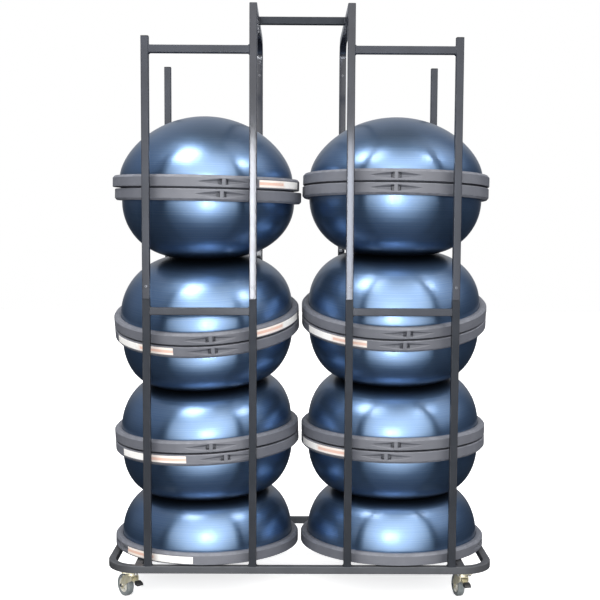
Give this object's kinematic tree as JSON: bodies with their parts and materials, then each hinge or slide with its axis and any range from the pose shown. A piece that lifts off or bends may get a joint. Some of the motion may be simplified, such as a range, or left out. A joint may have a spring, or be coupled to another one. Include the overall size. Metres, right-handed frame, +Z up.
{
  "type": "exercise ball rack",
  "caption": "Wheeled steel-tube rack with two open bays, each holding a stack of half-ball balance trainers set flat side to flat side.",
  "frame": {"origin": "on the floor under the middle of the rack", "axes": "+X along the rack to the right as seen from the front, +Y from the front to the back, +Z up"},
  "size_m": [1.3138, 0.6604, 1.9546],
  "materials": {
    "powder_coated_steel": "satin",
    "platform_plastic": "satin",
    "dome_vinyl": "gloss",
    "zinc_plate": "satin",
    "steel_bolt": "polished",
    "wheel_rubber": "matte",
    "pedal_plastic": "matte"
  },
  "bodies": {
    "rack": {"base_frame": "powder_coated_steel", "lower_frame_front_left": "powder_coated_steel", "lower_frame_front_right": "powder_coated_steel", "lower_post_back_left_outer": "powder_coated_steel", "lower_post_back_left_inner": "powder_coated_steel", "lower_post_back_right_outer": "powder_coated_steel", "lower_post_back_right_inner": "powder_coated_steel", "upper_frame_front_left": "powder_coated_steel", "upper_frame_front_right": "powder_coated_steel", "upper_post_back_left": "powder_coated_steel", "upper_post_back_right": "powder_coated_steel", "hoop_left": "powder_coated_steel", "hoop_right": "powder_coated_steel", "top_tie_bar": "powder_coated_steel", "caster_plate_front_left": "zinc_plate", "caster_plate_front_right": "zinc_plate", "caster_plate_back_left": "zinc_plate", "caster_plate_back_right": "zinc_plate"},
    "fork_front_left": {"caster_fork_front_left": "zinc_plate", "caster_axle_front_left": "steel_bolt"},
    "wheel_front_left": {"caster_wheel_front_left": "wheel_rubber"},
    "pedal_front_left": {"brake_pedal_front_left": "pedal_plastic"},
    "fork_front_right": {"caster_fork_front_right": "zinc_plate", "caster_axle_front_right": "steel_bolt"},
    "wheel_front_right": {"caster_wheel_front_right": "wheel_rubber"},
    "pedal_front_right": {"brake_pedal_front_right": "pedal_plastic"},
    "fork_back_left": {"caster_fork_back_left": "zinc_plate", "caster_axle_back_left": "steel_bolt"},
    "wheel_back_left": {"caster_wheel_back_left": "wheel_rubber"},
    "fork_back_right": {"caster_fork_back_right": "zinc_plate", "caster_axle_back_right": "steel_bolt"},
    "wheel_back_right": {"caster_wheel_back_right": "wheel_rubber"},
    "trainer_left_1": {"platform_left_1": "platform_plastic", "dome_left_1": "dome_vinyl"},
    "trainer_left_2": {"platform_left_2": "platform_plastic", "dome_left_2": "dome_vinyl"},
    "trainer_left_3": {"platform_left_3": "platform_plastic", "dome_left_3": "dome_vinyl"},
    "trainer_left_4": {"platform_left_4": "platform_plastic", "dome_left_4": "dome_vinyl"},
    "trainer_left_5": {"platform_left_5": "platform_plastic", "dome_left_5": "dome_vinyl"},
    "trainer_left_6": {"platform_left_6": "platform_plastic", "dome_left_6": "dome_vinyl"},
    "trainer_left_7": {"platform_left_7": "platform_plastic", "dome_left_7": "dome_vinyl"},
    "trainer_right_1": {"platform_right_1": "platform_plastic", "dome_right_1": "dome_vinyl"},
    "trainer_right_2": {"platform_right_2": "platform_plastic", "dome_right_2": "dome_vinyl"},
    "trainer_right_3": {"platform_right_3": "platform_plastic", "dome_right_3": "dome_vinyl"},
    "trainer_right_4": {"platform_right_4": "platform_plastic", "dome_right_4": "dome_vinyl"},
    "trainer_right_5": {"platform_right_5": "platform_plastic", "dome_right_5": "dome_vinyl"},
    "trainer_right_6": {"platform_right_6": "platform_plastic", "dome_right_6": "dome_vinyl"},
    "trainer_right_7": {"platform_right_7": "platform_plastic", "dome_right_7": "dome_vinyl"}
  },
  "joints": [
    {"name": "caster_front_left_swivel", "type": "hinge", "parent": "rack", "child": "fork_front_left", "pos_m": [-0.565, -0.2712, 0.09], "axis": [0, 0, 1], "continuous": true},
    {"name": "wheel_front_left_spin", "type": "hinge", "parent": "fork_front_left", "child": "wheel_front_left", "pos_m": [-0.58943, -0.24209, 0.0375], "axis": [0.766, 0.6428, 0], "continuous": true},
    {"name": "brake_front_left_lift", "type": "hinge", "parent": "fork_front_left", "child": "pedal_front_left", "pos_m": [-0.55536, -0.28269, 0.069], "axis": [-0.766, -0.6428, 0], "range_deg": [0, 18]},
    {"name": "caster_front_right_swivel", "type": "hinge", "parent": "rack", "child": "fork_front_right", "pos_m": [0.547, -0.2712, 0.09], "axis": [0, 0, 1], "continuous": true},
    {"name": "wheel_front_right_spin", "type": "hinge", "parent": "fork_front_right", "child": "wheel_front_right", "pos_m": [0.5391, -0.23403, 0.0375], "axis": [0.9781, 0.2079, 0], "continuous": true},
    {"name": "brake_front_right_lift", "type": "hinge", "parent": "fork_front_right", "child": "pedal_front_right", "pos_m": [0.55012, -0.28587, 0.069], "axis": [-0.9781, -0.2079, 0], "range_deg": [0, 18]},
    {"name": "caster_back_left_swivel", "type": "hinge", "parent": "rack", "child": "fork_back_left", "pos_m": [-0.55, 0.2712, 0.09], "axis": [0, 0, 1], "continuous": true},
    {"name": "wheel_back_left_spin", "type": "hinge", "parent": "fork_back_left", "child": "wheel_back_left", "pos_m": [-0.51965, 0.24833, 0.0375], "axis": [-0.6018, -0.7986, 0], "continuous": true},
    {"name": "caster_back_right_swivel", "type": "hinge", "parent": "rack", "child": "fork_back_right", "pos_m": [0.55, 0.2712, 0.09], "axis": [0, 0, 1], "continuous": true},
    {"name": "wheel_back_right_spin", "type": "hinge", "parent": "fork_back_right", "child": "wheel_back_right", "pos_m": [0.55725, 0.2339, 0.0375], "axis": [-0.9816, -0.1908, 0], "continuous": true},
    {"name": "lift_left_1", "type": "slide", "parent": "rack", "child": "trainer_left_1", "axis": [0, 0, 1], "range_m": [0, 0.006]},
    {"name": "lift_left_2", "type": "slide", "parent": "trainer_left_1", "child": "trainer_left_2", "axis": [0, 0, 1], "range_m": [0, 0.006]},
    {"name": "lift_left_3", "type": "slide", "parent": "trainer_left_2", "child": "trainer_left_3", "axis": [0, 0, 1], "range_m": [0, 0.006]},
    {"name": "lift_left_4", "type": "slide", "parent": "trainer_left_3", "child": "trainer_left_4", "axis": [0, 0, 1], "range_m": [0, 0.006]},
    {"name": "lift_left_5", "type": "slide", "parent": "trainer_left_4", "child": "trainer_left_5", "axis": [0, 0, 1], "range_m": [0, 0.006]},
    {"name": "lift_left_6", "type": "slide", "parent": "trainer_left_5", "child": "trainer_left_6", "axis": [0, 0, 1], "range_m": [0, 0.04]},
    {"name": "lift_left_7", "type": "slide", "parent": "trainer_left_6", "child": "trainer_left_7", "axis": [0, 0, 1], "range_m": [0, 0.16]},
    {"name": "lift_right_1", "type": "slide", "parent": "rack", "child": "trainer_right_1", "axis": [0, 0, 1], "range_m": [0, 0.006]},
    {"name": "lift_right_2", "type": "slide", "parent": "trainer_right_1", "child": "trainer_right_2", "axis": [0, 0, 1], "range_m": [0, 0.006]},
    {"name": "lift_right_3", "type": "slide", "parent": "trainer_right_2", "child": "trainer_right_3", "axis": [0, 0, 1], "range_m": [0, 0.006]},
    {"name": "lift_right_4", "type": "slide", "parent": "trainer_right_3", "child": "trainer_right_4", "axis": [0, 0, 1], "range_m": [0, 0.006]},
    {"name": "lift_right_5", "type": "slide", "parent": "trainer_right_4", "child": "trainer_right_5", "axis": [0, 0, 1], "range_m": [0, 0.006]},
    {"name": "lift_right_6", "type": "slide", "parent": "trainer_right_5", "child": "trainer_right_6", "axis": [0, 0, 1], "range_m": [0, 0.04]},
    {"name": "lift_right_7", "type": "slide", "parent": "trainer_right_6", "child": "trainer_right_7", "axis": [0, 0, 1], "range_m": [0, 0.16]}
  ]
}
